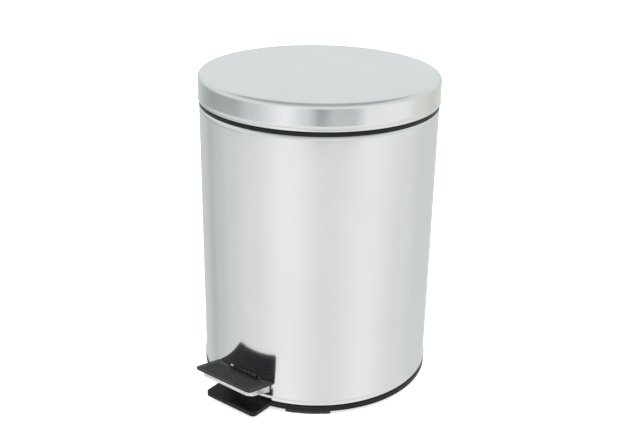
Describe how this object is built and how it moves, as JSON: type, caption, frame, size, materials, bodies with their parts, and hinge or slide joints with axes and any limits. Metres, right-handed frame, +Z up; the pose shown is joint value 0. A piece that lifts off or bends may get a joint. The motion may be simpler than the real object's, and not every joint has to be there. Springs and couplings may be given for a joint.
{
  "type": "pedal trash can",
  "caption": "Round steel pedal bin with a hinged lid opened by a foot pedal through a lever and push rod, and a lift-out inner bucket with a wire bail.",
  "frame": {"origin": "middle of the footprint on the floor: halfway between the front of the pedal tread and the back of the lid hinge, on the bin's plane of symmetry", "axes": "+Z up; the pedal points to -Y and the lid hinge is at +Y; +X is to the right seen from the front; the shell's axis is 7.5 mm behind the origin"},
  "size_m": [0.2068, 0.246, 0.2758],
  "materials": {
    "polished_steel": "mirror polished",
    "zinc_steel": "zinc plated",
    "black_steel": "semi-gloss black",
    "black_plastic": "fine moulded texture",
    "tread_plastic": "satin moulded",
    "bucket_plastic": "satin moulded",
    "nylon": "natural",
    "rubber": "matt"
  },
  "bodies": {
    "casing": {"outer_shell": "polished_steel", "top_rim": "black_plastic", "base_moulding": "black_plastic", "feet": "rubber", "fulcrum_bracket": "zinc_steel", "bracket_screws": "zinc_steel", "fulcrum_pin": "zinc_steel", "pin_clips": "zinc_steel", "rod_guides": "black_plastic", "guide_rivets": "polished_steel", "hinge_bracket": "black_steel", "bracket_rivets": "polished_steel", "hinge_pin": "zinc_steel", "hinge_pin_clip": "zinc_steel", "hinge_washers": "nylon", "lid_bumpers": "rubber"},
    "lid": {"lid_shell": "polished_steel", "lid_hinge_arm": "black_steel", "lid_rivets": "polished_steel"},
    "pedal": {"pedal_lever": "zinc_steel", "pedal_tread": "tread_plastic", "tread_screws": "zinc_steel", "pivot_bushes": "nylon", "lever_rod_pin": "zinc_steel"},
    "rod": {"push_rod": "zinc_steel", "rod_cross_pin": "zinc_steel"},
    "bucket": {"inner_bucket": "bucket_plastic"},
    "bail": {"bail_wire": "zinc_steel", "bail_grip": "black_plastic"}
  },
  "joints": [
    {"name": "lid_hinge", "type": "hinge", "parent": "casing", "child": "lid", "pos_m": [0, 0.117, 0.25], "axis": [-1, 0, 0], "range_deg": [0, 80]},
    {"name": "pedal_hinge", "type": "hinge", "parent": "casing", "child": "pedal", "pos_m": [0, -0.0305, 0.02], "axis": [1, 0, 0], "range_deg": [0, 8.75]},
    {"name": "rod_slide", "type": "slide", "parent": "casing", "child": "rod", "axis": [0, 0, 1], "range_m": [0, 0.02058]},
    {"name": "bucket_lift", "type": "slide", "parent": "casing", "child": "bucket", "axis": [0, 0, 1], "range_m": [0, 0.01]},
    {"name": "bail_hinge", "type": "hinge", "parent": "bucket", "child": "bail", "pos_m": [0, 0.0075, 0.233], "axis": [-1, 0, 0], "range_deg": [0, 8]}
  ],
  "couplings": [
    {"joint": "pedal_hinge", "follows": "lid_hinge", "ratio": 0.10937},
    {"joint": "rod_slide", "follows": "lid_hinge", "m_per_rad": 0.014732}
  ]
}
